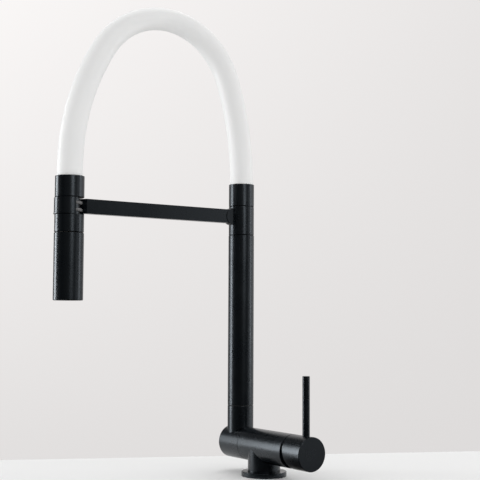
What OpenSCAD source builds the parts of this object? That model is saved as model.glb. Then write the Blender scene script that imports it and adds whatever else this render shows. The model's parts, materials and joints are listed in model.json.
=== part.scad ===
// Fold-down single-lever kitchen mixer with a hose-fed pull-out handset.
// A horizontal barrel stands on a short post. Its left third is a knuckle that
// folds about the barrel's axis and carries the swivelling riser, the docking
// arm, the hose arch and the handset. The lever end holds a tilting cap.
// X runs along the barrel to the lever end, -Y is the handset's side, Z is up.
// The origin is the centre of the flange's underside, on the worktop.
// All lengths are in millimetres and all angles in degrees.

/* [Base] */
// outer diameter of the deck flange
flange_d = 48; // [46:1:60]
// thickness of the deck flange
flange_t = 5; // [4:0.5:8]
// diameter of the post between flange and barrel
post_d = 34.6; // [34:0.2:38]
// thickness of the worktop that the clamp holds
deck_t = 20; // [6:1:40]
// thread diameter of the mounting stud
stud_d = 8; // [6:1:8]
// thread diameter of the two supply inlets
inlet_d = 9; // [8:0.5:10]

/* [Barrel] */
// diameter of the horizontal barrel
barrel_d = 35; // [34:0.5:40]
// height of the barrel's axis above the worktop
axis_z = 31; // [29:0.5:40]
// distance from the post's axis to the barrel's open end
barrel_end = 50; // [48:1:60]
// distance from the post's axis to the fold seam
fold_x = 25; // [23:1:30]
// length of the folding knuckle
knuckle_l = 36; // [35:1:42]

/* [Riser] */
// distance from the fold seam to the riser's axis
riser_in = 19; // [18:0.5:20]
// outer diameter of the riser tube
riser_d = 28.5; // [27:0.5:32]
// wall of the riser tube
riser_wall = 1.5; // [1:0.25:2]
// height of the swivel seam above the worktop
socket_top = 71.5; // [66:0.5:90]
// height of the riser tube's upper end
riser_top = 259; // [200:1:320]
// outer diameter of the arm ring and the hose ferrule
ring_d = 28.1; // [27.2:0.1:31]
// length of the arm ring
ring_h = 32.5; // [26:0.5:40]
// length of the hose ferrule
ferrule_h = 24.5; // [18:0.5:32]

/* [Docking arm] */
// distance from the riser's axis to the handset's axis
reach = 211.2; // [170:0.2:240]
// height of the flat bar
bar_h = 15; // [12:0.5:20]
// thickness of the flat bar
bar_t = 7; // [5:0.5:8]
// height of the bar's centre above the arm ring's lower edge
bar_up = 20.7; // [12:0.1:22]
// diameter of the round foot that joins the bar to the ring
foot_d = 18.6; // [16:0.2:20]
// outer diameter of the hook
hook_d = 30.8; // [30:0.2:34]
// inner diameter of the hook
hook_bore = 26.4; // [26:0.2:27]
// height of the hook
hook_h = 16.6; // [14:0.2:22]
// width of the hook's mouth
mouth_w = 21.2; // [21:0.1:22]
// direction that the mouth faces, counted from +X towards +Y
mouth_a = 43; // [38:1:48]

/* [Hose] */
// outer diameter of the white sleeve
hose_d = 26; // [24:0.5:26.5]
// inner diameter of the white sleeve
hose_bore = 17.2; // [17:0.2:19]
// rise of the arch from where it starts to curve to its centreline's top
arch_rise = 170.7; // [160:0.1:185]
// share of the reach at which the arch has its top
top_share = 0.4745; // [0.45:0.0005:0.5]
// angle that the slack arc above the riser turns through
rise_a = 19.6; // [17:0.1:30]
// angle that the slack arc above the handset turns through
fall_a = 32.6; // [28:0.1:35]
// share of its thickness that the hose loses at the arch's top
hose_flat = 0.09; // [0:0.01:0.1]
// straight length of hose above the ferrule
hose_up = 1; // [1:0.5:10]
// straight length of hose above the handset's collar
hose_down = 10.3; // [4:0.1:16]

/* [Handset] */
// outer diameter of the collar that takes the hose
collar_d = 29.5; // [29.2:0.1:32]
// length of the collar
collar_h = 21.5; // [18:0.5:30]
// diameter of the neck that enters the hook
neck_d = 20.8; // [19:0.2:20.8]
// outer diameter of the upper sleeve
sleeve_d = 29.6; // [29:0.2:32]
// length of the upper sleeve
sleeve_h = 17.9; // [15:0.1:26]
// outer diameter of the turning spray barrel
head_d = 30; // [29:0.5:32]
// length of the turning spray barrel
head_h = 67.5; // [60:0.5:90]
// number of jets in the outer circle
jets_outer = 16; // [12:1:18]
// number of jets in the inner circle
jets_inner = 10; // [6:1:12]

/* [Handle] */
// diameter of the handle cap
cap_d = 35; // [34:0.5:36]
// distance from the barrel's open end to the cap's flat face
cap_l = 31; // [30:0.5:36]
// slant of the cap's rim, half of the lever's travel
rim_a = 12.5; // [10:0.5:12.5]
// distance from the barrel's open end to the lever's axis
lever_in = 21.5; // [20:0.5:22]
// diameter of the lever
lever_d = 7.6; // [6:0.2:9]
// height of the lever's tip above the barrel's axis
lever_h = 78; // [50:1:110]

/* [Fits] */
// radial clearance of the turning journals
run = 0.05; // [0.02:0.01:0.08]
// gap between faces that turn on each other
face_gap = 0.05; // [0.03:0.01:0.1]
// gap at the swivel seam and above the spray barrel
seam = 0.5; // [0.3:0.05:0.6]
// gap at the fold seam
fold_seam = 0.3; // [0.2:0.05:0.4]
// gap between a hose and a piece of the handset
hose_gap = 0.3; // [0.2:0.05:0.4]
// gap above and below the docked hook
dock_gap = 0.3; // [0.2:0.05:0.6]

/* [Hidden] */
$fn = 96;
// cutters run this far past the faces that they open
eps = 1;
black = [0.13, 0.14, 0.15];
brass = [0.72, 0.58, 0.32];
steel = [0.62, 0.63, 0.65];
plastic = [0.85, 0.85, 0.83];
rubber = [0.08, 0.08, 0.08];
white = [0.93, 0.93, 0.92];
// rounding of the visible outer edges
edge = 0.6;
edge_big = 1;
// rounding of the two faces at the fold seam
edge_fine = 0.2;

// base
spigot_r = post_d / 2 - 1;
spigot_z = 0.5;
gasket_t = 2;
gasket_ro = flange_d / 2 - 2;
gasket_ri = spigot_r + 2.5;
stud_x = -10;
stud_top = 16;
stud_below = 26;
stud_hex = 4;
inlet_x = 4;
inlet_y = 7.5;
feed_y = 6.5;
feed_down = 4.5;
feed_r = 2.2;
out_up = 4.5;
out_r = 2.6;
shoe_r = 27;
shoe_t = 3;
shoe_w = 26;
shoe_x = -3.5;
nut_af = 13;
nut_h = 14;

// fold joint
face_x = -(fold_x - fold_seam / 2);
knuckle_x = -(fold_x + fold_seam / 2);
knuckle_end = -(fold_x + knuckle_l);
riser_x = -(fold_x + riser_in);
spin_r = 10;
spin_thread_r = 8;
spin_thread_l = 16;
spin_bore = 5;
waist_r = 7.8;
waist_l = 10;
port_r = 4;
oring_r = 1;
oring_w = 2.4;
clip_t = 1.2;
clip_root = 8.7;
clip_ro = 12;
clip_room = 13;
cap_seat_r = 14;
cap_seat_t = 2.5;
clip_x = knuckle_end + cap_seat_t + 1.1;
stop_r = 1.2;
stop_c = barrel_d / 2 - 3.5;
stop_gap = 0.15;
fold_travel = 90;
washer_ro = 12;

// riser swivel
thread_r = 9;
thread_z = axis_z + 11.5;
barrel_top = axis_z + barrel_d / 2;
nip_bore = 6;
nip_flange_r = riser_d / 2 - 1.8;
nip_flange_t = 2;
seat_z = socket_top - seam / 2;
riser_z = socket_top + seam / 2;
foot_line = 0.4;
foot_len = 29;
foot_z = riser_z + foot_len;
tube_ri = riser_d / 2 - riser_wall;
nip_end = foot_z + 2.6;

// riser head, ring and ferrule
rx = [riser_x, 0, 0];
ring_top = riser_top + ring_h;
ferrule_top = ring_top + ferrule_h;
head_plug = 15;
head_r = ring_d / 2 - 2.4;
web_t = 2.5;
stub_r = 8.4;
barb_r = 4.95;
barb_z = ring_top + web_t + 5;
barb_l = 22;
crimp_l = 16;
crimp_t = 0.7;
inner_ro = 7.3;
inner_ri = 5;
ring_gap = 0.3;

// docking arm and handset heights
bar_z = riser_top + bar_up;
hook_top = bar_z + bar_h / 2;
hook_bot = hook_top - hook_h;
lip_h = 1.1;
lip_out = 0.4;
foot_t = bar_t + 1.4;
sx = [riser_x, -reach, 0];
collar_bot = hook_top + dock_gap;
collar_top = collar_bot + collar_h;
sleeve_top = hook_bot - dock_gap;
sleeve_bot = sleeve_top - sleeve_h;
head_top = sleeve_bot - seam;
head_bot = head_top - head_h;
neck_r = neck_d / 2;
neck_thread = 3;
neck_bore = 5;
neck_barb_r = inner_ri - hose_gap;
grip_r = 1.7;
grip_c = hook_bore / 2 - 0.2 - grip_r;
grip_in = 4.4;
valve_l = 9;
core_r = 10;
core_flange_r = 12.4;
core_flange_t = 4;
head_wall = 2;
head_cap_t = 4;
core_clip_z = head_top - head_cap_t - 1.6;
face_up = 2.5;
face_t = 4;
div_t = 4;
div_z = head_bot + face_up + face_t + 3;
jet_r = 0.8;
jet_ring_o = 10.6;
jet_ring_i = 7.9;
aer_r = 5.4;

// hose arch: a slack arc above each end and two tighter arcs that meet at the top
arch_z = ferrule_top + hose_up;
fall_z = collar_top + hose_down;
top_z = arch_z + arch_rise;
top_y = top_share * reach;
rise_top_r = top_radius(top_y, arch_rise, rise_a);
rise_end_r = end_radius(top_y, arch_rise, rise_a);
fall_top_r = top_radius(reach - top_y, top_z - fall_z, fall_a);
fall_end_r = end_radius(reach - top_y, top_z - fall_z, fall_a);
end_steps = 7;
top_steps = 24;
hose_seat = ring_top + web_t + 0.2;
hose_tail = collar_bot + neck_thread + 0.5;

// cartridge, counted from the barrel's open end
floor_x = barrel_end - 26;
base_x = barrel_end - 18;
disc_x = barrel_end - 15;
carrier_x = barrel_end - 12;
flange_x = barrel_end - 8;
cavity_x = barrel_end - 6.2;
nut_x = barrel_end - 5;
nut_end = barrel_end + 1;
rotor_end = barrel_end + 6;
pivot_x = barrel_end + 2.5;
chamber_r = 12.6;
cart_r = 12.5;
cavity_r = 10.8;
rotor_r = 8;
cart_nut_r = 15;
disc_t = 3;
seal_r = 3.3;
seal_w = 0.6;
slip = 0.02;
claw_y = 8.3;
carrier_r = 7.5;
carrier_z = 4;
slot_y = 4.1;
slot_z = 5.4;
tail_l = 11.5;
ball_r = 2.5;
tail_r = 2;
stem_w = 8;
stem_out = cap_l - 7;
stem_in = 4.5;
pin_r = 1.5;
rim_x = barrel_end + 4.5;
cap_x = barrel_end + cap_l;
cap_wall = 2;
cap_face = 3;
hub_r = 11;
hub_x = barrel_end + 12;
lever_x = barrel_end + lever_in;
lever_seat = cap_d / 2 - 0.9;
screw_r = 2.5;
dog_r = 1.5;
dog_z = (lever_x + dog_r - pivot_x) * tan(rim_a) + stem_w / 2 / cos(rim_a) + 0.05;

// ---- shared shapes ----

// a shape drawn along Z, laid along the barrel from x
module along_x(x) {
    translate([x, 0, axis_z]) rotate([0, 90, 0]) children();
}

// a round bar whose two end edges are rounded by lo and hi
module turned(r, h, lo, hi) {
    rotate_extrude() {
        translate([0, lo]) square([r, h - lo - hi]);
        square([r - lo, h - hi]);
        translate([0, lo]) square([r - hi, h - lo]);
        if (lo > 0) translate([r - lo, lo]) circle(r = lo, $fn = 32);
        if (hi > 0) translate([r - hi, h - hi]) circle(r = hi, $fn = 32);
    }
}

module tube(ro, ri, h) {
    difference() {
        cylinder(r = ro, h = h);
        translate([0, 0, -eps]) cylinder(r = ri, h = h + 2 * eps);
    }
}

module torus(rc, rs) {
    rotate_extrude() translate([rc, 0]) circle(r = rs, $fn = 48);
}

// a sprung ring with a gap, flat in the XY plane
module snap_ring(ro, ri, h) {
    difference() {
        tube(ro, ri, h);
        translate([0, -1.5, -eps]) cube([ro + eps, 3, h + 2 * eps]);
    }
}

// a groove for an O-ring, cut round a shaft of radius r
module seal_groove(r) {
    translate([0, 0, -oring_w / 2]) tube(r + eps, r - 2 * oring_r - run, oring_w);
}

// ---- base and clamp ----

module base_flange() {
    color(black) difference() {
        turned(flange_d / 2, flange_t, 0, edge);
        translate([0, 0, -eps]) cylinder(r = spigot_r + run, h = flange_t + 2 * eps);
        translate([0, 0, -eps]) tube(gasket_ro, gasket_ri, gasket_t + eps);
    }
}

module base_gasket() {
    color(rubber) tube(gasket_ro, gasket_ri, gasket_t);
}

// the stop pin's arc slot runs in the barrel's left face
module stop_slot() {
    w = stop_r + stop_gap;
    along_x(face_x - eps) {
        rotate_extrude(angle = fold_travel) translate([stop_c - w, 0]) square([2 * w, eps + 2.3]);
        for (a = [0, fold_travel])
            rotate([0, 0, a]) translate([stop_c, 0, 0]) cylinder(r = w, h = eps + 2.3, $fn = 32);
    }
}

module mixer_body() {
    color(black) difference() {
        union() {
            translate([0, 0, flange_t]) cylinder(r = post_d / 2, h = axis_z - flange_t);
            translate([0, 0, spigot_z]) cylinder(r = spigot_r, h = flange_t);
            along_x(face_x) turned(barrel_d / 2, barrel_end - face_x, edge_fine, 0.3);
        }
        // cartridge chamber and the thread of its nut
        along_x(floor_x) cylinder(r = chamber_r, h = barrel_end);
        along_x(nut_x) cylinder(r = cart_nut_r, h = barrel_end);
        // seat of the fold spindle
        along_x(face_x - eps) cylinder(r = spin_thread_r, h = spin_thread_l + eps);
        // mixed water runs from the cartridge to the spindle
        translate([0, 0, out_up]) along_x(face_x + spin_thread_l - eps)
            cylinder(r = out_r, h = floor_x - face_x - spin_thread_l + 2 * eps, $fn = 48);
        // hot and cold inlets and their feeds to the cartridge
        for (s = [-1, 1]) {
            translate([inlet_x, s * inlet_y, 0])
                cylinder(r = inlet_d / 2, h = axis_z - feed_down + feed_r, $fn = 64);
            translate([0, s * feed_y, -feed_down]) along_x(inlet_x)
                cylinder(r = feed_r, h = floor_x - inlet_x + eps, $fn = 48);
        }
        translate([stud_x, 0, 0]) cylinder(r = stud_d / 2, h = stud_top, $fn = 64);
        stop_slot();
    }
}

module mounting_stud() {
    below = deck_t + stud_below;
    color(steel) translate([stud_x, 0, -below]) difference() {
        cylinder(r = stud_d / 2, h = below + stud_top, $fn = 64);
        // hexagon socket in the lower end
        translate([0, 0, -eps]) cylinder(d = stud_hex, h = 5 + eps, $fn = 6);
    }
}

// a horseshoe that lets the supply hoses pass, open towards +X
module horseshoe(t) {
    difference() {
        cylinder(r = shoe_r, h = t);
        translate([shoe_x, -shoe_w / 2, -eps]) cube([shoe_r * 2, shoe_w, t + 2 * eps]);
        translate([stud_x, 0, -eps]) cylinder(r = stud_d / 2 + 0.3, h = t + 2 * eps, $fn = 64);
    }
}

module clamp_gasket() {
    color(rubber) translate([0, 0, -deck_t - shoe_t]) horseshoe(shoe_t);
}

module clamp_plate() {
    color(steel) translate([0, 0, -deck_t - 2 * shoe_t]) horseshoe(shoe_t);
}

module stud_nut() {
    color(brass) translate([stud_x, 0, -deck_t - 2 * shoe_t - nut_h]) difference() {
        cylinder(d = nut_af / cos(30), h = nut_h, $fn = 6);
        translate([0, 0, -eps]) cylinder(r = stud_d / 2, h = nut_h + 2 * eps, $fn = 64);
    }
}

// ---- cartridge ----

// the three water ways through base and fixed disc
module ports(h) {
    for (s = [-1, 1]) translate([feed_down, s * feed_y, -eps]) cylinder(r = feed_r, h = h + 2 * eps, $fn = 48);
    translate([-out_up, 0, -eps]) cylinder(r = out_r, h = h + 2 * eps, $fn = 48);
}

// the three port seals, each a ring in the base's rear face
module port_seals() {
    for (p = [[feed_down, feed_y], [feed_down, -feed_y], [-out_up, 0]])
        translate([p[0], p[1], seal_w]) torus(seal_r, seal_w);
}

module cartridge_base() {
    color(plastic) difference() {
        along_x(floor_x + slip) cylinder(r = cart_r, h = base_x - floor_x - slip);
        along_x(floor_x) ports(base_x - floor_x);
        along_x(floor_x) port_seals();
    }
}

module cartridge_seals() {
    color(rubber) along_x(floor_x) port_seals();
}

module cartridge_housing() {
    color(plastic) difference() {
        union() {
            along_x(base_x) cylinder(r = cart_r, h = nut_x - base_x);
            along_x(base_x) cylinder(r = rotor_r + 2, h = nut_end - base_x);
        }
        along_x(base_x - eps) cylinder(r = cavity_r, h = cavity_x - base_x + eps);
        along_x(base_x) cylinder(r = rotor_r + run, h = barrel_end);
    }
}

module ceramic_disc_fixed() {
    color(white) difference() {
        along_x(base_x) cylinder(r = cavity_r - 0.1, h = disc_t);
        along_x(base_x) ports(disc_t);
    }
}

// the tail of the stem pushes these two pieces across the fixed disc
slide_z = -tail_l * sin(rim_a);

module ceramic_disc_moving() {
    color(white) translate([0, 0, slide_z]) difference() {
        along_x(disc_x + slip) cylinder(r = carrier_r, h = carrier_x - disc_x - slip);
        along_x(disc_x - eps) cylinder(r = carrier_r - 2, h = 1.5 + eps);
    }
}

module disc_carrier() {
    color(plastic) translate([0, 0, slide_z]) difference() {
        union() {
            along_x(carrier_x) cylinder(r = carrier_r, h = flange_x - carrier_x);
            translate([carrier_x, -claw_y + 0.1, axis_z - carrier_z])
                cube([flange_x - carrier_x, 2 * claw_y - 0.2, 2 * carrier_z]);
        }
        along_x(carrier_x + 0.3) cylinder(r = ball_r + run, h = barrel_end, $fn = 64);
    }
}

module cartridge_rotor() {
    claw_r = cavity_r - 0.3;
    claw_z = 3.5;
    color(plastic) difference() {
        union() {
            along_x(flange_x + 0.1) cylinder(r = claw_r, h = cavity_x - flange_x - 0.2);
            along_x(flange_x + 0.1) cylinder(r = rotor_r, h = rotor_end - flange_x - 0.1);
            // two claws turn the disc carrier and let it slide
            intersection() {
                along_x(carrier_x + 0.1) cylinder(r = claw_r, h = flange_x - carrier_x);
                for (s = [-1, 1])
                    translate([carrier_x, s > 0 ? claw_y : -claw_y - 4, axis_z - claw_z])
                        cube([flange_x - carrier_x + 0.1, 4, 2 * claw_z]);
            }
        }
        translate([flange_x - eps, -slot_y, axis_z - slot_z])
            cube([rotor_end - flange_x + 2 * eps, 2 * slot_y, 2 * slot_z]);
        translate([pivot_x, 0, axis_z]) rotate([90, 0, 0])
            cylinder(r = pin_r, h = 3 * rotor_r, center = true, $fn = 48);
    }
}

module stem_pin() {
    color(steel) translate([pivot_x, 0, axis_z]) rotate([90, 0, 0])
        cylinder(r = pin_r, h = 2 * rotor_r - 1.2, center = true, $fn = 48);
}

// places a shape on the stem's own slanted axis, from its pivot
module on_stem() {
    translate([pivot_x, 0, axis_z]) rotate([0, -rim_a, 0]) children();
}

module cartridge_stem() {
    color(steel) on_stem() difference() {
        union() {
            translate([-stem_in, -stem_w / 2, -stem_w / 2]) cube([stem_in + stem_out, stem_w, stem_w]);
            rotate([0, -90, 0]) cylinder(r = tail_r, h = tail_l, $fn = 48);
            translate([-tail_l, 0, 0]) sphere(r = ball_r, $fn = 48);
        }
        rotate([90, 0, 0]) cylinder(r = pin_r + run, h = 2 * stem_w, center = true, $fn = 48);
    }
}

module cartridge_nut() {
    color(brass) difference() {
        along_x(nut_x) turned(cart_nut_r, nut_end - nut_x, 0, edge);
        along_x(nut_x - eps) cylinder(r = rotor_r + 2.1, h = barrel_end);
        // four slots for the pin spanner
        for (a = [45:90:315])
            along_x(nut_end - 1.8) rotate([0, 0, a]) translate([rotor_r + 4.5, -1.5, 0]) cube([4, 3, 4]);
    }
}

// ---- handle ----

module handle_cap() {
    color(black) difference() {
        union() {
            difference() {
                along_x(barrel_end - 2) turned(cap_d / 2, cap_l + 2, 0, edge);
                along_x(barrel_end - 2 - eps) cylinder(r = cap_d / 2 - cap_wall, h = cap_l + 2 + eps - cap_face);
            }
            along_x(hub_x) cylinder(r = hub_r, h = cap_x - hub_x - edge);
            // boss under the lever
            translate([lever_x, 0, axis_z + hub_r - 1.5])
                cylinder(r = lever_d / 2 + 1.7, h = cap_d / 2 - hub_r + 0.4);
        }
        // slanted rim, which clears the barrel over the whole travel
        translate([rim_x, 0, axis_z]) rotate([0, -rim_a, 0])
            translate([-cap_l, -cap_d, -cap_d]) cube([cap_l, 2 * cap_d, 2 * cap_d]);
        // square hole on the stem
        on_stem() translate([stem_in, -stem_w / 2 - run, -stem_w / 2 - run])
            cube([stem_out - stem_in + 0.5, stem_w + 2 * run, stem_w + 2 * run]);
        translate([lever_x, 0, axis_z]) cylinder(r = screw_r, h = cap_d, $fn = 48);
        translate([lever_x, 0, axis_z + lever_seat]) cylinder(r = lever_d / 2 + run, h = cap_d);
    }
}

module handle_lever() {
    color(black) translate([lever_x, 0, axis_z]) {
        translate([0, 0, lever_seat]) turned(lever_d / 2, lever_h - lever_seat, 0, edge);
        // threaded shank, whose dog point presses the cap onto the stem
        translate([0, 0, dog_z + 1]) cylinder(r = screw_r - run, h = lever_seat - dog_z - 1, $fn = 48);
        translate([0, 0, dog_z]) cylinder(r = dog_r, h = 1, $fn = 48);
    }
}

// ---- fold joint ----

module fold_spindle() {
    end_x = clip_x - 0.8;
    color(brass) difference() {
        union() {
            along_x(end_x) cylinder(r = spin_r, h = face_x - end_x);
            along_x(face_x) cylinder(r = spin_thread_r, h = spin_thread_l);
        }
        // water way, with a waist round the riser's port for every fold angle
        along_x(clip_x + clip_t + 2) cylinder(r = spin_bore, h = fold_x + knuckle_l);
        along_x(riser_x - waist_l / 2) tube(spin_r + eps, waist_r, waist_l);
        translate([riser_x, 0, axis_z]) cylinder(r = port_r, h = 3 * spin_r, center = true, $fn = 48);
        for (x = seal_xs()) along_x(x) seal_groove(spin_r);
        along_x(clip_x) tube(spin_r + eps, clip_root, clip_t);
    }
}

function seal_xs() = [riser_x - waist_l / 2 - 2.3, riser_x + waist_l / 2 + 4.5];

module spindle_seals() {
    color(rubber) for (x = seal_xs()) along_x(x) torus(spin_r - oring_r - run, oring_r);
}

module spindle_clip() {
    color(steel) along_x(clip_x) snap_ring(clip_ro, clip_root, clip_t);
}

module fold_washer() {
    color(plastic) along_x(knuckle_x + face_gap) tube(washer_ro, spin_r + run, fold_seam - face_gap);
}

module fold_knuckle() {
    room_x = knuckle_end + cap_seat_t;
    color(black) difference() {
        along_x(knuckle_end) turned(barrel_d / 2, knuckle_x - knuckle_end, edge_big, edge_fine);
        along_x(room_x) cylinder(r = spin_r + run, h = knuckle_l);
        along_x(room_x - eps) cylinder(r = clip_room, h = clip_x + clip_t + face_gap - room_x + eps);
        along_x(knuckle_end - eps) cylinder(r = cap_seat_r, h = cap_seat_t + eps);
        // port and thread under the riser
        translate([riser_x, 0, axis_z]) cylinder(r = nip_bore, h = barrel_d, $fn = 64);
        translate([riser_x, 0, thread_z]) cylinder(r = thread_r, h = barrel_d, $fn = 64);
        along_x(knuckle_x - 5) translate([stop_c, 0, 0]) cylinder(r = stop_r, h = 5 + eps, $fn = 32);
    }
}

module knuckle_cap() {
    color(black) along_x(knuckle_end) turned(cap_seat_r, cap_seat_t, 0.3, 0);
}

module fold_stop_pin() {
    color(steel) along_x(knuckle_x - 5) translate([stop_c, 0, 0])
        cylinder(r = stop_r, h = 5 + fold_seam + 2, $fn = 32);
}

// ---- riser swivel ----

module riser_socket() {
    color(black) difference() {
        translate(rx + [0, 0, axis_z]) turned(riser_d / 2, seat_z - axis_z, 0, 0.4);
        translate(rx) cylinder(r = spin_r + run, h = 2 * socket_top);
        translate(rx + [0, 0, seat_z - nip_flange_t]) cylinder(r = nip_flange_r + run, h = 2 * nip_flange_t);
        // saddle over the knuckle, with a fine shadow line round its foot
        along_x(knuckle_end) cylinder(r = barrel_d / 2, h = 2 * knuckle_l);
        intersection() {
            along_x(knuckle_end) cylinder(r = barrel_d / 2 + foot_line, h = 2 * knuckle_l);
            translate(rx) tube(riser_d / 2 + eps, riser_d / 2 - foot_line, socket_top);
        }
    }
}

function ring_zs() = [riser_z + 7, riser_z + 21];

module riser_nipple() {
    color(brass) difference() {
        union() {
            translate(rx + [0, 0, thread_z]) cylinder(r = thread_r, h = barrel_top - thread_z + 0.2, $fn = 64);
            translate(rx + [0, 0, barrel_top + 0.1]) cylinder(r = spin_r, h = nip_end - barrel_top - 0.1);
            translate(rx + [0, 0, seat_z - nip_flange_t]) cylinder(r = nip_flange_r, h = nip_flange_t);
        }
        translate(rx) cylinder(r = nip_bore, h = 2 * nip_end, $fn = 64);
        for (z = ring_zs()) translate(rx + [0, 0, z]) seal_groove(spin_r);
        translate(rx + [0, 0, foot_z + face_gap]) tube(spin_r + eps, clip_root, clip_t);
    }
}

module nipple_seals() {
    color(rubber) for (z = ring_zs()) translate(rx + [0, 0, z]) torus(spin_r - oring_r - run, oring_r);
}

module nipple_clip() {
    color(steel) translate(rx + [0, 0, foot_z + face_gap]) snap_ring(tube_ri - 0.5, clip_root, clip_t);
}

module swivel_washer() {
    color(plastic) translate(rx + [0, 0, seat_z])
        tube(riser_d / 2 - 0.9, spin_r + run, seam - face_gap);
}

module riser_foot() {
    color(brass) translate(rx + [0, 0, riser_z]) tube(tube_ri, spin_r + run, foot_len);
}

module riser_tube() {
    color(black) translate(rx + [0, 0, riser_z]) difference() {
        turned(riser_d / 2, riser_top - riser_z, 0.4, 0.4);
        translate([0, 0, -eps]) cylinder(r = tube_ri, h = riser_top);
    }
}

// a hose tail of three barbs, standing on its base
module barbs(r, l) {
    cylinder(r = r - 0.6, h = l, $fn = 64);
    for (i = [0:2]) translate([0, 0, l * (0.2 + 0.27 * i)]) cylinder(r1 = r, r2 = r - 0.6, h = l * 0.22, $fn = 64);
}

module riser_head() {
    color(brass) translate(rx) difference() {
        union() {
            translate([0, 0, riser_top - head_plug]) cylinder(r = tube_ri, h = head_plug);
            translate([0, 0, riser_top - eps]) cylinder(r = head_r, h = ring_h + eps);
            translate([0, 0, ring_top - eps]) cylinder(r = stub_r, h = barb_z - ring_top + eps);
            translate([0, 0, barb_z]) barbs(barb_r, barb_l);
        }
        translate([0, 0, riser_top - head_plug - eps]) cylinder(r = 3.2, h = ferrule_top, $fn = 48);
        translate([0, 0, riser_top - head_plug - eps]) cylinder(r = 7, h = head_plug, $fn = 64);
    }
}

module arm_ring() {
    color(black) translate(rx + [0, 0, riser_top + ring_gap]) difference() {
        turned(ring_d / 2, ring_h - 2 * ring_gap, edge, edge);
        translate([0, 0, -eps]) cylinder(r = head_r, h = ring_h + 2 * eps);
    }
}

// ---- docking arm ----

// cuts the hook's bore and the straight slot that the neck leaves by
module hook_mouth() {
    h = hook_h + 2 * eps;
    translate([0, 0, -eps]) {
        cylinder(r = hook_bore / 2, h = h);
        rotate([0, 0, mouth_a]) translate([0, -mouth_w / 2, 0]) cube([hook_d, mouth_w, h]);
    }
}

module docking_arm() {
    color(black) difference() {
        union() {
            translate([riser_x - bar_t / 2, -reach + hook_bore / 2 - eps, bar_z - bar_h / 2])
                cube([bar_t, reach - hook_bore / 2 + eps, bar_h]);
            translate([riser_x - foot_t / 2, -ring_d / 2 + 1.1, bar_z]) rotate([0, 90, 0])
                cylinder(d = foot_d, h = foot_t);
            translate(sx + [0, 0, hook_bot]) turned(hook_d / 2, hook_h, 0, 0.4);
            translate(sx + [0, 0, hook_bot]) cylinder(r = hook_d / 2 + lip_out, h = lip_h);
        }
        translate(rx + [0, 0, riser_top - ring_h]) cylinder(r = ring_d / 2, h = 3 * ring_h);
        translate([riser_x - foot_t, -ring_d / 2 + 1, bar_z - foot_d]) cube([2 * foot_t, ring_d, 2 * foot_d]);
        translate(sx + [0, 0, hook_bot]) hook_mouth();
    }
}

// ---- hose ----

module hose_ferrule() {
    color(black) translate(rx + [0, 0, ring_top]) difference() {
        turned(ring_d / 2, ferrule_h, 0.4, 0.2);
        translate([0, 0, web_t]) cylinder(r = hose_d / 2 + run, h = ferrule_h);
        translate([0, 0, -eps]) cylinder(r = stub_r + run, h = ferrule_h);
    }
}

module riser_crimp() {
    color(steel) translate(rx + [0, 0, barb_z + 0.5]) tube(inner_ro + crimp_t, inner_ro, crimp_l);
}

// radii of the two arcs of one side of the arch, which is w wide and h high and
// whose slack arc turns through t
function top_radius(w, h, t) =
    (w - h * (1 - cos(t)) / sin(t)) / (cos(t) - (1 - cos(t)) * (1 - sin(t)) / sin(t));
function end_radius(w, h, t) = (h - top_radius(w, h, t) * (1 - sin(t))) / sin(t);

// point of the centreline where the hose has turned by h from straight up, as
// [distance from the riser towards the handset, height]
function arch_point(h) =
    h <= rise_a ? [rise_end_r * (1 - cos(h)), arch_z + rise_end_r * sin(h)]
    : h <= 90 ? [top_y - rise_top_r * cos(h), top_z - rise_top_r * (1 - sin(h))]
    : h <= 180 - fall_a ? [top_y - fall_top_r * cos(h), top_z - fall_top_r * (1 - sin(h))]
    : [reach - fall_end_r * (1 + cos(h)), fall_z + fall_end_r * sin(h)];

// turn at each ring: slow on the slack end arcs, quicker over the top
function arch_turns() = concat(
    [for (i = [0:end_steps]) rise_a * i / end_steps],
    [for (i = [1:top_steps - 1]) rise_a + (180 - rise_a - fall_a) * i / top_steps],
    [for (i = [0:end_steps]) 180 - fall_a + fall_a * i / end_steps]);

// one ring of n points round the centreline point p, square to the turn h; the
// hose gets flatter and wider towards the arch's top
function hose_ring(p, h, r, n) =
    let (thick = r * (1 - hose_flat * pow(sin(h), 2)),
        wide = r * (1 + hose_flat / 2 * pow(sin(h), 2)))
    [for (k = [0:n - 1])
        [riser_x + wide * sin(360 * k / n),
         -(p[0] - thick * cos(360 * k / n) * cos(h)),
         p[1] + thick * cos(360 * k / n) * sin(h)]];

// the rings of the whole arch, up from z0 and down to z1
function hose_rings(r, n, z0, z1) = concat(
    hose_ring([0, z0], 0, r, n),
    [for (h = arch_turns()) each hose_ring(arch_point(h), h, r, n)],
    hose_ring([reach, z1], 180, r, n));

// two triangles for each patch between rings, turned over for an inner wall
function wall_faces(n, m, at, flip) = [for (i = [0:m - 2], k = [0:n - 1])
    let (a = at + i * n + k, b = at + i * n + (k + 1) % n, c = b + n, d = a + n)
    each flip ? [[a, b, c], [a, c, d]] : [[a, c, b], [a, d, c]]];

// two triangles for each patch of the ring-shaped end between two walls
function end_faces(n, out, in, flip) = [for (k = [0:n - 1])
    let (a = out + k, b = out + (k + 1) % n, c = in + (k + 1) % n, d = in + k)
    each flip ? [[a, b, c], [a, c, d]] : [[a, c, b], [a, d, c]]];

// a hose with its bore, swept along the arch as one tube
module hose(ro, ri, n, z0, z1) {
    m = len(arch_turns()) + 2;
    polyhedron(
        points = concat(hose_rings(ro, n, z0, z1), hose_rings(ri, n, z0, z1)),
        faces = concat(
            wall_faces(n, m, 0, true), wall_faces(n, m, n * m, false),
            end_faces(n, 0, n * m, false), end_faces(n, n * (m - 1), n * (2 * m - 1), true)));
}

module white_hose() {
    color(white) hose(hose_d / 2, hose_bore / 2, 36, hose_seat, hose_tail);
}

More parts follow.
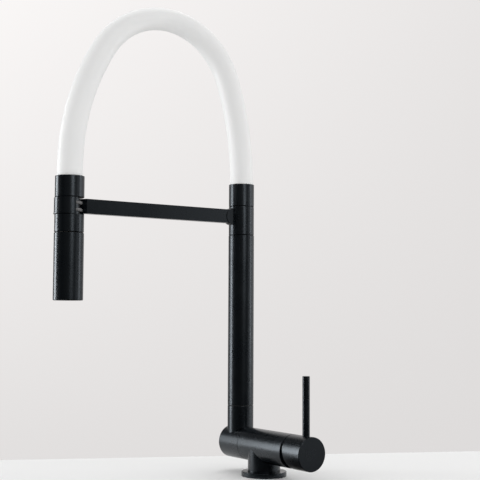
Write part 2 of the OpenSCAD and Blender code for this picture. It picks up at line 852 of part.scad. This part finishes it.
module inner_hose() {
    color(plastic) hose(inner_ro, inner_ri, 16, barb_z + 0.3, hose_tail + 0.3);
}

// ---- handset ----

module spray_collar() {
    color(black) translate(sx + [0, 0, collar_bot]) difference() {
        turned(collar_d / 2, collar_h, edge, 0.3);
        translate([0, 0, neck_thread]) cylinder(r = hose_d / 2 + hose_gap, h = collar_h);
        translate([0, 0, -eps]) cylinder(r = neck_r, h = collar_h);
    }
}

module spray_crimp() {
    color(steel) translate(sx + [0, 0, hose_tail + 1]) tube(inner_ro + hose_gap + crimp_t, inner_ro + hose_gap, crimp_l - 4);
}

function grip_zs() = [hook_bot + grip_in, hook_top - grip_in - 0.6];

module neck_rings() {
    color(rubber) for (z = grip_zs()) translate(sx + [0, 0, z]) torus(grip_c, grip_r);
}

module spray_neck() {
    low = sleeve_top - neck_thread - 9;
    color(brass) difference() {
        translate(sx) {
            translate([0, 0, low]) cylinder(r = neck_r, h = collar_bot + neck_thread - low);
            translate([0, 0, collar_bot + neck_thread - eps]) barbs(neck_barb_r, collar_h - neck_thread - 3);
        }
        translate(sx + [0, 0, low - eps]) cylinder(r = 3, h = collar_top - low, $fn = 48);
        translate(sx + [0, 0, low - eps]) cylinder(r = neck_bore, h = valve_l + 2 + eps, $fn = 64);
        neck_rings();
    }
}

// non-return valve that sits in the neck's lower end
module check_valve() {
    low = sleeve_top - neck_thread - 9;
    color(plastic) translate(sx + [0, 0, low + 1]) difference() {
        cylinder(r = neck_bore - run, h = valve_l, $fn = 64);
        for (a = [0:60:300]) rotate([0, 0, a]) translate([3, 0, -eps]) cylinder(r = 1, h = valve_l + 2 * eps, $fn = 24);
    }
}

module spray_sleeve() {
    color(black) translate(sx + [0, 0, sleeve_bot]) difference() {
        turned(sleeve_d / 2, sleeve_h, edge, edge);
        translate([0, 0, -eps]) cylinder(r = core_flange_r, h = sleeve_h - neck_thread + eps);
        translate([0, 0, -eps]) cylinder(r = neck_r, h = sleeve_h + 2 * eps);
    }
}

// water way that the spray barrel turns on
module spray_core() {
    low = div_z + div_t;
    top = sleeve_bot + core_flange_t;
    color(plastic) translate(sx) difference() {
        union() {
            translate([0, 0, low]) cylinder(r = core_r, h = top - low);
            translate([0, 0, sleeve_bot]) cylinder(r = core_flange_r, h = core_flange_t);
        }
        translate([0, 0, low - eps]) cylinder(r = 7, h = top - low + 2 * eps, $fn = 64);
        translate([0, 0, core_clip_z]) tube(core_r + eps, core_r - 1.2, clip_t);
    }
}

module core_clip() {
    color(steel) translate(sx + [0, 0, core_clip_z]) snap_ring(head_d / 2 - head_wall - 0.6, core_r - 1.2, clip_t);
}

// ported disc that chooses between the jets and the aerator
module spray_diverter() {
    color(plastic) translate(sx + [0, 0, div_z]) difference() {
        cylinder(r = head_d / 2 - head_wall - 0.4, h = div_t);
        for (a = [0, 180]) rotate([0, 0, a]) translate([6, 0, -eps]) cylinder(r = 1.6, h = div_t + 2 * eps, $fn = 32);
        translate([0, 0, -eps]) cylinder(r = 1.6, h = div_t + 2 * eps, $fn = 32);
    }
}

module spray_barrel() {
    ri = head_d / 2 - head_wall;
    color(black) translate(sx + [0, 0, head_bot]) difference() {
        turned(head_d / 2, head_h, edge_big, edge);
        translate([0, 0, -eps]) cylinder(r = ri - 0.6, h = face_up + 2 * eps);
        translate([0, 0, face_up]) cylinder(r = ri, h = head_h - face_up - head_cap_t);
        translate([0, 0, -eps]) cylinder(r = core_r + run, h = head_h + 2 * eps);
    }
}

module jet_places() {
    for (i = [0:jets_outer - 1]) rotate([0, 0, i * 360 / jets_outer]) translate([jet_ring_o, 0, 0]) children();
    for (i = [0:jets_inner - 1]) rotate([0, 0, i * 360 / jets_inner]) translate([jet_ring_i, 0, 0]) children();
}

module spray_face() {
    color(black) translate(sx + [0, 0, head_bot + face_up]) difference() {
        cylinder(r = head_d / 2 - head_wall, h = face_t);
        translate([0, 0, -eps]) cylinder(r = aer_r + run, h = face_t + 2 * eps, $fn = 64);
        translate([0, 0, -eps]) jet_places() cylinder(r = jet_r, h = face_t + 2 * eps, $fn = 24);
    }
}

// soft nozzles, one solid for each jet
module spray_jets() {
    color(rubber) translate(sx + [0, 0, head_bot + face_up - 0.9]) jet_places() difference() {
        union() {
            cylinder(r = jet_r, h = face_t + 0.9, $fn = 24);
            cylinder(r1 = jet_r - 0.15, r2 = jet_r + 0.25, h = 0.9, $fn = 24);
        }
        translate([0, 0, -eps]) cylinder(r = 0.35, h = face_t + 3, $fn = 16);
    }
}

module aerator() {
    color(steel) translate(sx + [0, 0, head_bot + face_up - 1.2]) difference() {
        cylinder(r = aer_r, h = face_t + 2.4, $fn = 64);
        // honeycomb grid, two rings round a middle hole
        translate([0, 0, -eps]) cylinder(r = 0.8, h = face_t + 6, $fn = 6);
        for (i = [0:5]) rotate([0, 0, i * 60]) translate([1.95, 0, -eps]) cylinder(r = 0.8, h = face_t + 6, $fn = 6);
        for (i = [0:11]) rotate([0, 0, i * 30]) translate([3.85, 0, -eps]) cylinder(r = 0.8, h = face_t + 6, $fn = 6);
    }
}

base_flange();
base_gasket();
mixer_body();
mounting_stud();
clamp_gasket();
clamp_plate();
stud_nut();
cartridge_base();
cartridge_seals();
cartridge_housing();
ceramic_disc_fixed();
ceramic_disc_moving();
disc_carrier();
cartridge_rotor();
stem_pin();
cartridge_stem();
cartridge_nut();
handle_cap();
handle_lever();
fold_spindle();
spindle_seals();
spindle_clip();
fold_washer();
fold_knuckle();
knuckle_cap();
fold_stop_pin();
riser_socket();
riser_nipple();
nipple_seals();
nipple_clip();
swivel_washer();
riser_foot();
riser_tube();
riser_head();
arm_ring();
docking_arm();
hose_ferrule();
riser_crimp();
white_hose();
inner_hose();
spray_collar();
spray_crimp();
spray_neck();
neck_rings();
check_valve();
spray_sleeve();
spray_core();
core_clip();
spray_diverter();
spray_barrel();
spray_face();
spray_jets();
aerator();
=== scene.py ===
"""Fold-down kitchen mixer with a pull-out handset: its finishes, its two hoses,
and the worktop, room, lamps and camera round it. Lengths are in metres."""

import json
import math

import bpy
import numpy as np
from mathutils import Matrix, Vector

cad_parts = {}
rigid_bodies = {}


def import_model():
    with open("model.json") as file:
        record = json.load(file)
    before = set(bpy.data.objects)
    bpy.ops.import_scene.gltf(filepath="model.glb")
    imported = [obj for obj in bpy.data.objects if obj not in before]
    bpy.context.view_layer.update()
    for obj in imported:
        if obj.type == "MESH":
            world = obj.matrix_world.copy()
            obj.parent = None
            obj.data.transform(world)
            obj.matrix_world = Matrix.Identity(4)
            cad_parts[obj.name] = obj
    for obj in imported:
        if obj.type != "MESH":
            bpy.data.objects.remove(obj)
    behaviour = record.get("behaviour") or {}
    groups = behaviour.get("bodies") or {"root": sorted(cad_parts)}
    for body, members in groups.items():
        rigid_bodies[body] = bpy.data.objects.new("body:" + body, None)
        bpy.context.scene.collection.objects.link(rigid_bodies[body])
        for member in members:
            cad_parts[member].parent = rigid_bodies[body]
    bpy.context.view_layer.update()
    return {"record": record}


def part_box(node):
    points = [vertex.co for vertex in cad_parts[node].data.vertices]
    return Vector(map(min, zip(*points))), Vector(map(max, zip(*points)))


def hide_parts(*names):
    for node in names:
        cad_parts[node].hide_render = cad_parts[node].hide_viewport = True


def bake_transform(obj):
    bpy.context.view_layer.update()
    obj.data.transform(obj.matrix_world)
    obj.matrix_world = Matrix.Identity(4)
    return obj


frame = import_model()


# ---------------------------------------------------------------- finishes
#
# A pattern is (features per metre, octaves), colours are (one, two), rough is
# the range of the roughness, and relief is (strength, depth).

NOISE_SPAN = (0.3, 0.7)  # nearly all of a noise signal lies between these


def new_material(name):
    """An empty node material: the material, its node tree and its Principled shader."""
    material = bpy.data.materials.new(name)
    material.use_nodes = True
    tree = material.node_tree
    tree.nodes.clear()
    out = tree.nodes.new("ShaderNodeOutputMaterial")
    shader = tree.nodes.new("ShaderNodeBsdfPrincipled")
    tree.links.new(shader.outputs["BSDF"], out.inputs["Surface"])
    return material, tree, shader


def noise(tree, per_metre, octaves, fade=0.5, stretch=(1, 1, 1)):
    """Noise on Object coordinates. Each octave has fade of the one before, and
    stretch packs the pattern closer along an axis."""
    place = tree.nodes.new("ShaderNodeTexCoord")
    mapping = tree.nodes.new("ShaderNodeMapping")
    mapping.inputs["Scale"].default_value = stretch
    texture = tree.nodes.new("ShaderNodeTexNoise")
    texture.inputs["Scale"].default_value = per_metre
    texture.inputs["Detail"].default_value = octaves
    texture.inputs["Roughness"].default_value = fade
    tree.links.new(place.outputs["Object"], mapping.inputs["Vector"])
    tree.links.new(mapping.outputs["Vector"], texture.inputs["Vector"])
    return texture.outputs["Fac"]


def set_colour(tree, shader, signal, colours):
    """Base colour that runs from the first colour to the second by a signal."""
    mix = tree.nodes.new("ShaderNodeMix")
    mix.data_type = "RGBA"
    mix.inputs["A"].default_value = (*colours[0], 1)
    mix.inputs["B"].default_value = (*colours[1], 1)
    tree.links.new(signal, mix.inputs["Factor"])
    tree.links.new(mix.outputs["Result"], shader.inputs["Base Color"])


def set_roughness(tree, shader, signal, rough):
    """Roughness that runs over its range as a noise signal runs over its span."""
    ramp = tree.nodes.new("ShaderNodeMapRange")
    for socket, value in zip(("From Min", "From Max", "To Min", "To Max"), (*NOISE_SPAN, *rough)):
        ramp.inputs[socket].default_value = value
    tree.links.new(signal, ramp.inputs["Value"])
    tree.links.new(ramp.outputs["Result"], shader.inputs["Roughness"])


def set_relief(tree, shader, signal, relief):
    """Bump whose height is a signal times the relief's depth."""
    bump = tree.nodes.new("ShaderNodeBump")
    bump.inputs["Strength"].default_value = relief[0]
    bump.inputs["Distance"].default_value = relief[1]
    tree.links.new(signal, bump.inputs["Height"])
    tree.links.new(bump.outputs["Normal"], shader.inputs["Normal"])


def clouded(name, colours, rough, cloud, grain, relief):
    """A finish whose colour and gloss drift in one cloudy pattern, under the
    relief of a fine grain: the material and its shader."""
    material, tree, shader = new_material(name)
    drift = noise(tree, *cloud)
    set_colour(tree, shader, drift, colours)
    set_roughness(tree, shader, drift, rough)
    set_relief(tree, shader, noise(tree, *grain), relief)
    return material, shader


def satin_black(name, rough):
    """Black electro-coat on brass: a cool satin gloss over a fine orange peel."""
    material, shader = clouded(
        name, colours=((0.0005, 0.0015, 0.0026), (0.0011, 0.0023, 0.0038)), rough=rough,
        cloud=(38, 4), grain=(1500, 2), relief=(0.035, 0.00005))
    shader.inputs["Specular IOR Level"].default_value = 0.54
    shader.inputs["Specular Tint"].default_value = (0.80, 0.905, 1.0, 1)
    return material


def silicone(name, colours):
    """Matte silicone: a soft skin that lets a little light in, with a mould's grain."""
    material, shader = clouded(
        name, colours, rough=(0.5, 0.58), cloud=(22, 4), grain=(1400, 2), relief=(0.12, 0.00008))
    shader.inputs["Sheen Weight"].default_value = 0.1
    shader.inputs["Sheen Roughness"].default_value = 0.4
    shader.inputs["Subsurface Weight"].default_value = 0.12
    shader.inputs["Subsurface Radius"].default_value = (0.004, 0.0038, 0.0036)
    return material


def rubber(name, colours):
    """Moulded rubber with a dull bloom."""
    return clouded(
        name, colours, rough=(0.45, 0.62), cloud=(120, 4), grain=(1600, 2), relief=(0.2, 0.00006))[0]


def moulded(name, colours, rough=(0.4, 0.52)):
    """Moulded plastic, or lapped ceramic with a smoother range, with a light grain."""
    return clouded(
        name, colours, rough=rough, cloud=(70, 3), grain=(1200, 2), relief=(0.15, 0.00005))[0]


def turned_metal(name, colours, rough, packed):
    """Machined metal: fine tool lines, packed closer along Z, in gloss and relief."""
    material, tree, shader = new_material(name)
    lines = noise(tree, 260, 5, fade=0.6, stretch=(1, 1, packed))
    set_colour(tree, shader, noise(tree, 40, 3), colours)
    set_roughness(tree, shader, lines, rough)
    set_relief(tree, shader, lines, (0.25, 0.00004))
    shader.inputs["Metallic"].default_value = 1.0
    return material


FINISH = {
    "black_paint": satin_black("satin_black", rough=(0.25, 0.31)),
    "black_neck": satin_black("neck_black", rough=(0.24, 0.3)),
    "white_silicone": silicone("white_silicone", ((0.84, 0.84, 0.836), (0.88, 0.88, 0.876))),
    "hose_core": moulded("hose_core", ((0.62, 0.63, 0.64), (0.7, 0.7, 0.71))),
    "black_rubber": rubber("black_rubber", ((0.016, 0.016, 0.017), (0.032, 0.032, 0.033))),
    "grey_rubber": rubber("grey_rubber", ((0.11, 0.11, 0.112), (0.15, 0.15, 0.152))),
    "steel": turned_metal(
        "stainless", ((0.52, 0.52, 0.53), (0.62, 0.62, 0.63)), rough=(0.22, 0.36), packed=14),
    "brass": turned_metal(
        "turned_brass", ((0.62, 0.46, 0.21), (0.74, 0.57, 0.3)), rough=(0.2, 0.34), packed=10),
    "natural_plastic": moulded("natural_plastic", ((0.74, 0.74, 0.7), (0.82, 0.82, 0.79))),
    "white_ceramic": moulded(
        "white_ceramic", ((0.82, 0.81, 0.77), (0.9, 0.89, 0.86)), rough=(0.12, 0.2)),
    "black_plastic": moulded("black_plastic", ((0.018, 0.018, 0.02), (0.03, 0.03, 0.032))),
}

for part in frame["record"]["subparts"]:
    solid = bpy.data.objects[part["node"]]
    solid.data.materials.clear()
    solid.data.materials.append(FINISH[part["material_slot"]])


# ---------------------------------------------------------------- hoses


def joint_place(name):
    """A point on a joint's axis."""
    joints = frame["record"]["behaviour"]["joints"]
    return next(joint["pos_m"] for joint in joints if joint["name"] == name)


def top_of(node):
    """Height of a solid's top, to the tenth of a millimetre that it is drawn to."""
    return round(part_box(node)[1][2], 4)


STRAIGHT_UP, STRAIGHT_DOWN = 0.001, 0.0103  # straight hose over the ferrule and the collar
ARCH_RISE = 0.1707  # from the arch's start to the centreline's highest point
TOP_SHARE = 0.4745  # that point's distance from the riser's axis, as a share of the reach
RISE, FALL = math.radians(19.6), math.radians(32.6)  # turns of the slack arcs
FLAT = 0.09  # share of its radius that the hose loses at the arch's top
STRAIGHT_STEPS = 5  # steps along each straight end

RISER_X = joint_place("swivel")[0]
REACH = -joint_place("jet_select")[1]  # from the riser's axis to the handset's
UP_Z = top_of("hose_ferrule") + STRAIGHT_UP  # where the arch starts
DOWN_Z = top_of("spray_collar") + STRAIGHT_DOWN  # where it ends
TOP_Z = UP_Z + ARCH_RISE
TOP_OUT = TOP_SHARE * REACH


def side_radii(wide, high, turn):
    """The two radii of one side of the arch, which is wide and high. An arc of
    radius slack turns by turn, which takes it slack (1 - cos turn) across and
    slack sin turn up. An arc of radius top goes on to level, which takes it
    top cos turn across and top (1 - sin turn) up."""
    s, c = math.sin(turn), math.cos(turn)
    top = (wide - high * (1 - c) / s) / (c - (1 - c) * (1 - s) / s)
    slack = (high - top * (1 - s)) / s
    return slack, top


RISE_SLACK, RISE_TOP = side_radii(TOP_OUT, TOP_Z - UP_Z, RISE)
FALL_SLACK, FALL_TOP = side_radii(REACH - TOP_OUT, TOP_Z - DOWN_Z, FALL)


def arch_line(turn):
    """Centreline of the hoses for the turn from straight up: a slack arc, two
    tighter arcs that meet at the top, and a slack arc down to the handset.
    Gives the distance from the riser and the height."""
    s, c = np.sin(turn), np.cos(turn)
    on_arc = [turn <= RISE, turn <= math.pi / 2, turn <= math.pi - FALL]
    out = np.select(
        on_arc,
        [RISE_SLACK * (1 - c), TOP_OUT - RISE_TOP * c, TOP_OUT - FALL_TOP * c],
        REACH - FALL_SLACK * (1 + c))
    z = np.select(
        on_arc,
        [UP_Z + RISE_SLACK * s, TOP_Z - RISE_TOP * (1 - s), TOP_Z - FALL_TOP * (1 - s)],
        DOWN_Z + FALL_SLACK * s)
    return out, z


def hose_path(z_start, z_end, steps):
    """Points and turns along a hose: straight up from z_start, over the arch in
    that many points, and straight down to z_end."""
    turn = np.linspace(0, math.pi, steps)
    out, z = arch_line(turn)
    up = np.linspace(z_start, UP_Z, STRAIGHT_STEPS + 1)[:-1]
    down = np.linspace(DOWN_Z, z_end, STRAIGHT_STEPS + 1)[1:]
    out = np.concatenate([np.zeros(STRAIGHT_STEPS), out, np.full(STRAIGHT_STEPS, REACH)])
    z = np.concatenate([up, z, down])
    turn = np.concatenate([np.zeros(STRAIGHT_STEPS), turn, np.full(STRAIGHT_STEPS, math.pi)])
    return out, z, turn


def hose_rings(out, z, turn, radius, around):
    """Rings round the path, each square to its turn: an ellipse with sin round
    it along X and cos round it across the path. It is a circle where the hose
    stands upright and gets flatter and wider with the square of sin turn."""
    angle = np.linspace(0, 2 * math.pi, around, endpoint=False)
    squeeze = FLAT * np.sin(turn) ** 2
    side = (radius * (1 - squeeze))[:, None] * np.cos(angle)[None, :]
    wide = (radius * (1 + squeeze / 2))[:, None] * np.sin(angle)[None, :]
    return np.stack([
        RISER_X + wide,
        -(out[:, None] - side * np.cos(turn)[:, None]),
        z[:, None] + side * np.sin(turn)[:, None]], -1)


def skin(name, rings):
    """A smooth closed piece from an array of rings: each ring is joined to the
    next one and the last to the first, as the wall of a tube is."""
    count, around, _ = rings.shape
    ring, point = np.arange(count)[:, None], np.arange(around)[None, :]
    next_ring, next_point = (ring + 1) % count, (point + 1) % around
    quads = np.stack([
        ring * around + point,
        next_ring * around + point,
        next_ring * around + next_point,
        ring * around + next_point], -1).reshape(-1, 4)
    mesh = bpy.data.meshes.new(name)
    mesh.from_pydata(rings.reshape(-1, 3).tolist(), [], quads.tolist())
    mesh.polygons.foreach_set("use_smooth", np.ones(len(quads), bool))
    mesh.update()
    piece = bpy.data.objects.new(name, mesh)
    bpy.context.scene.collection.objects.link(piece)
    return piece


def hose(name, node, slot, outer, bore, lip, z_start, z_end, steps, around):
    """A hose with its bore: the outer wall's rings along the path, drawn in by
    the lip at both ends, and the bore's rings on the way back."""
    out, z, turn = hose_path(z_start, z_end, steps)
    outer_r = np.full(len(z), outer)
    outer_r[[0, -1]] -= lip
    bore_r = np.full(len(z), bore)
    piece = skin(name, np.concatenate([
        hose_rings(out, z, turn, outer_r, around),
        hose_rings(out[::-1], z[::-1], turn[::-1], bore_r, around)]))
    piece.data.materials.append(FINISH[slot])
    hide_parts(node)
    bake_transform(piece)


# both run on inside the ferrule and the collar, where their ends are
hose("white_hose_wall", "white_hose", "white_silicone", outer=0.0130, bore=0.0086, lip=0.0006,
     z_start=0.2942, z_end=0.2910, steps=145, around=72)
hose("inner_hose_wall", "inner_hose", "hose_core", outer=0.0073, bore=0.0050, lip=0.0003,
     z_start=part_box("inner_hose")[0][2], z_end=0.2913, steps=97, around=36)


# ---------------------------------------------------------------- directions

YAW, PITCH, ROLL = math.radians(54.84), math.radians(4.06), math.radians(0.27)

# on the floor: towards the camera, and to its right
front = np.array([math.sin(YAW), -math.cos(YAW)])
sideways = np.array([math.cos(YAW), math.sin(YAW)])

UPRIGHT = (0, 0, 1)
level = Vector((*sideways, 0))
wallward = Vector((*-front, 0))
ahead = Vector((-math.sin(YAW) * math.cos(PITCH), math.cos(YAW) * math.cos(PITCH), math.sin(PITCH)))


# ---------------------------------------------------------------- worktop

WORKTOP = (0.84, 0.84, 0.836)
WORKTOP_SHADE = 0.985  # the darker of its two tones, as a share
WORKTOP_Z = -0.00005  # a hair under the gasket, so that the two faces don't lie in one plane
EDGE_A, EDGE_B = np.array([-0.266, -0.193]), np.array([-0.008, 0.348])  # on the back edge
SPLIT = 0.032  # what lies further in front of the post's axis isn't seen in reflections
SIDE_RUN, FRONT_RUN = 9, 12  # how far the worktop runs to the sides and to the front
CORNER_FORWARD = 2  # how far its back edge comes forward at the far left


def worktop_finish():
    """Matte white board in two tones that are nearly the same."""
    material, tree, shader = new_material("worktop_white")
    shade = tuple(WORKTOP_SHADE * c for c in WORKTOP)
    set_colour(tree, shader, noise(tree, 3.0, 3), (WORKTOP, shade))
    shader.inputs["Roughness"].default_value = 0.7
    shader.inputs["Specular IOR Level"].default_value = 0.12
    return material


def slab(name, corners, material):
    """A flat piece of worktop between its corners."""
    mesh = bpy.data.meshes.new(name)
    mesh.from_pydata(
        [(float(x), float(y), WORKTOP_Z) for x, y in corners], [], [tuple(range(len(corners)))])
    mesh.materials.append(material)
    piece = bpy.data.objects.new(name, mesh)
    bpy.context.scene.collection.objects.link(piece)
    return piece


along_edge = (EDGE_B - EDGE_A) / np.linalg.norm(EDGE_B - EDGE_A)
meet = EDGE_A + along_edge * (SPLIT - EDGE_A @ front) / (along_edge @ front)
far_right = front * SPLIT + sideways * SIDE_RUN
far_left = EDGE_A - along_edge * SIDE_RUN

board = worktop_finish()
slab("worktop", [meet, far_right, EDGE_B + along_edge * SIDE_RUN], board)
apron = slab("worktop_apron", [
    meet, far_left + front * CORNER_FORWARD, far_left + front * FRONT_RUN,
    far_right + front * FRONT_RUN, far_right], board)
apron.visible_glossy = False


# ---------------------------------------------------------------- room
#
# A tone is how bright the room looks in a direction, with white at 1. A span
# says between which parts of that direction along a fixed one, from -1 to 1,
# one tone goes over into another.

WALL_TINT = (1.031, 1.006, 0.998)
WALL_LEFT, WALL_RIGHT = (0.735, 0.93), (0.705, 0.785)  # low and high on the wall
WALL_HEIGHTS, WALL_TURNS = (-0.14, 0.30), (-0.22, 0.22)  # spans from low to high, left to right
ROOM_TONES = (0.02, 0.28)  # the room on the camera's side, low and high
ROOM_TOP, ROOM_ASIDE = 0.08, 0.05  # its ceiling, and its left side
ROOM_HEIGHTS, TOP_HEIGHTS = (-0.04, 0.36), (0.45, 0.95)  # spans from low to high, and to the top
ASIDE_TURNS = (-0.75, -0.25)  # span from the left side to the rest
WALL_SIDE = (0.70, 0.97)  # span from the rest to the wall behind the mixer
AMBIENT = 0.73  # the even light on matte surfaces
FORWARD = 0.3  # share by which it comes more from the camera's side

room = bpy.data.worlds.new("studio")
bpy.context.scene.world = room
room.use_nodes = True
room.cycles.sampling_method = "NONE"
room_tree = room.node_tree
room_tree.nodes.clear()
looked_at = room_tree.nodes.new("ShaderNodeTexCoord").outputs["Generated"]
ray = room_tree.nodes.new("ShaderNodeLightPath").outputs


def along(direction):
    """How far the looked-at direction points along a fixed one, -1 to 1."""
    dot = room_tree.nodes.new("ShaderNodeVectorMath")
    dot.operation = "DOT_PRODUCT"
    room_tree.links.new(looked_at, dot.inputs[0])
    dot.inputs[1].default_value = direction
    return dot.outputs["Value"]


def step(value, span, tones=(0.0, 1.0), soft=False):
    """A value's way over a span mapped to two tones and held past them, in a
    straight line or, where soft, in an S."""
    ramp = room_tree.nodes.new("ShaderNodeMapRange")
    ramp.interpolation_type = "SMOOTHSTEP" if soft else "LINEAR"
    for socket, number in zip(("From Min", "From Max", "To Min", "To Max"), (*span, *tones)):
        ramp.inputs[socket].default_value = number
    room_tree.links.new(value, ramp.inputs["Value"])
    return ramp.outputs["Result"]


def between(share, one, two):
    """(1 - share) one + share two, where each may be a number or a signal."""
    mix = room_tree.nodes.new("ShaderNodeMix")
    mix.data_type = "FLOAT"
    for socket, value in (("Factor", share), ("A", one), ("B", two)):
        if isinstance(value, (int, float)):
            mix.inputs[socket].default_value = value
        else:
            room_tree.links.new(value, mix.inputs[socket])
    return mix.outputs["Result"]


def larger(one, two):
    """The larger of two signals."""
    most = room_tree.nodes.new("ShaderNodeMath")
    most.operation = "MAXIMUM"
    room_tree.links.new(one, most.inputs[0])
    room_tree.links.new(two, most.inputs[1])
    return most.outputs[0]


def wall_tone():
    """The wall gets brighter upwards and darker to the right."""
    height = step(along(UPRIGHT), WALL_HEIGHTS)
    turn = step(along(level), WALL_TURNS)
    return between(turn, between(height, *WALL_LEFT), between(height, *WALL_RIGHT))


def room_tone(wall):
    """The room as gloss sees it: the wall behind the mixer, and a dim room in
    front of it that gets brighter upwards, with a dark ceiling and left side."""
    near_side = step(along(UPRIGHT), ROOM_HEIGHTS, ROOM_TONES)
    near_side = between(step(along(UPRIGHT), TOP_HEIGHTS, soft=True), near_side, ROOM_TOP)
    near_side = between(step(along(level), ASIDE_TURNS, soft=True), ROOM_ASIDE, near_side)
    return between(step(along(wallward), WALL_SIDE, soft=True), near_side, wall)


def seen_room():
    """The tinted room: the wall for the camera, all of it for gloss."""
    wall = wall_tone()
    tinted = room_tree.nodes.new("ShaderNodeVectorMath")
    tinted.operation = "SCALE"
    tinted.inputs[0].default_value = WALL_TINT
    room_tree.links.new(between(ray["Is Camera Ray"], room_tone(wall), wall), tinted.inputs["Scale"])
    shown = room_tree.nodes.new("ShaderNodeBackground")
    shown.inputs["Strength"].default_value = 1.0
    room_tree.links.new(tinted.outputs["Vector"], shown.inputs["Color"])
    return shown.outputs[0]


def matte_light():
    """White light on matte surfaces, a little more of it from the camera's side."""
    light = room_tree.nodes.new("ShaderNodeBackground")
    light.inputs["Color"].default_value = (1.0, 1.0, 1.0, 1)
    strength = step(along((*front, 0)), (-1.0, 1.0), (AMBIENT * (1 - FORWARD), AMBIENT * (1 + FORWARD)))
    room_tree.links.new(strength, light.inputs["Strength"])
    return light.outputs[0]


both = room_tree.nodes.new("ShaderNodeMixShader")
seen_by = larger(ray["Is Camera Ray"], larger(ray["Is Glossy Ray"], ray["Is Transmission Ray"]))
room_tree.links.new(seen_by, both.inputs["Fac"])
room_tree.links.new(matte_light(), both.inputs[1])
room_tree.links.new(seen_room(), both.inputs[2])
surface = room_tree.nodes.new("ShaderNodeOutputWorld").inputs["Surface"]
room_tree.links.new(both.outputs[0], surface)


# ---------------------------------------------------------------- lamps

MIDDLE = Vector((-0.03, -0.10, 0.16))  # the point that the lamps are set round
CEILING_SIZE = 2.0
CEILING_BEHIND, CEILING_OVER = 1.1, 2.0  # from the middle


def area_lamp(name, wide, high, tone, place, facing, gloss, fill, colour=(1, 1, 1)):
    """A rectangular lamp that faces along a direction. tone is how bright its
    face looks, so its power is pi times tone times its area. gloss says whether
    it shows in reflections and fill whether it lights matte surfaces."""
    lamp = bpy.data.lights.new(name, "AREA")
    lamp.shape = "RECTANGLE"
    lamp.size, lamp.size_y = wide, high
    lamp.energy = tone * math.pi * wide * high
    lamp.color = colour
    holder = bpy.data.objects.new(name, lamp)
    holder.location = place
    holder.rotation_euler = facing.to_track_quat("-Z", "Y").to_euler()
    holder.visible_camera = False
    holder.visible_glossy, holder.visible_diffuse = gloss, fill
    bpy.context.scene.collection.objects.link(holder)


def soft_box(name, turn, wide, low, high, far, tone, colour=(1, 1, 1), gloss=True, fill=True):
    """An upright soft box seen from the middle at a turn to the right of the
    camera's side: wide degrees across, from low to high degrees up, far
    metres away."""
    heading = YAW + math.radians(turn)
    out = Vector((math.sin(heading), -math.cos(heading), 0))
    z_low, z_high = (far * math.tan(math.radians(angle)) for angle in (low, high))
    across = 2 * far * math.tan(math.radians(wide / 2))
    place = MIDDLE + out * far + Vector((0, 0, (z_low + z_high) / 2))
    area_lamp(name, across, z_high - z_low, tone, place, -out, gloss, fill, colour)


def ceiling(name, tone, gloss, fill):
    """A square soft box overhead, a little behind the mixer."""
    place = MIDDLE + wallward * CEILING_BEHIND + Vector((0, 0, CEILING_OVER))
    area_lamp(name, CEILING_SIZE, CEILING_SIZE, tone, place, MIDDLE - place, gloss, fill)


# on the left: the window's reflection, its light and its edge
soft_box("window_left", turn=-101, wide=13, low=-24, high=34, far=0.75, tone=9.8,
         colour=(0.96, 0.98, 1.0), fill=False)
soft_box("window_left_fill", turn=-98, wide=14, low=-8, high=34, far=4.2, tone=5.6,
         colour=(0.98, 0.99, 1.0), gloss=False)
soft_box("window_left_edge", turn=-114, wide=14, low=-10, high=18, far=2.4, tone=2.0,
         colour=(0.97, 0.99, 1.0))

# on the right: a fainter window's reflection, its light and the wall past it
soft_box("window_right", turn=99, wide=12, low=-8, high=34, far=0.9, tone=2.9,
         colour=(0.98, 0.98, 1.0), fill=False)
soft_box("window_right_fill", turn=110, wide=26, low=-3, high=38, far=2.4, tone=1.3, gloss=False)
soft_box("right_wall", turn=124, wide=34, low=-12, high=34, far=2.4, tone=0.68, fill=False)

# on the camera's side: a tall strip, and the wall between it and the right
soft_box("front_strip", turn=32, wide=18, low=8, high=45, far=2.4, tone=3.8, fill=False)
soft_box("side_wall", turn=74, wide=14, low=-14, high=40, far=2.4, tone=0.62)

# overhead: the ceiling's light, and its reflection
ceiling("ceiling_fill", tone=1.2, gloss=False, fill=True)
ceiling("ceiling_sheen", tone=2.4, gloss=True, fill=False)


# ---------------------------------------------------------------- camera

CAMERA_PLACE = (0.8992, -0.6661, 0.1723)
SENSOR = 36.0  # millimetres, as the lens is
FRAME_PIXELS, FOCAL_PIXELS = 480, 1034.93
NEAREST, FARTHEST = 0.05, 60.0

above = level.cross(ahead)
right = level * math.cos(ROLL) + above * math.sin(ROLL)
up = above * math.cos(ROLL) - level * math.sin(ROLL)

camera = bpy.data.objects.new("camera", bpy.data.cameras.new("camera"))
bpy.context.scene.collection.objects.link(camera)
# a camera looks along its own -Z, with X to the right and Y up
turned = Matrix((right, up, -ahead)).transposed().to_4x4()
camera.matrix_world = Matrix.Translation(CAMERA_PLACE) @ turned
camera.data.sensor_width = SENSOR
camera.data.lens = FOCAL_PIXELS / FRAME_PIXELS * SENSOR
camera.data.clip_start, camera.data.clip_end = NEAREST, FARTHEST
bpy.context.scene.camera = camera
bpy.context.scene.view_settings.view_transform = "Standard"
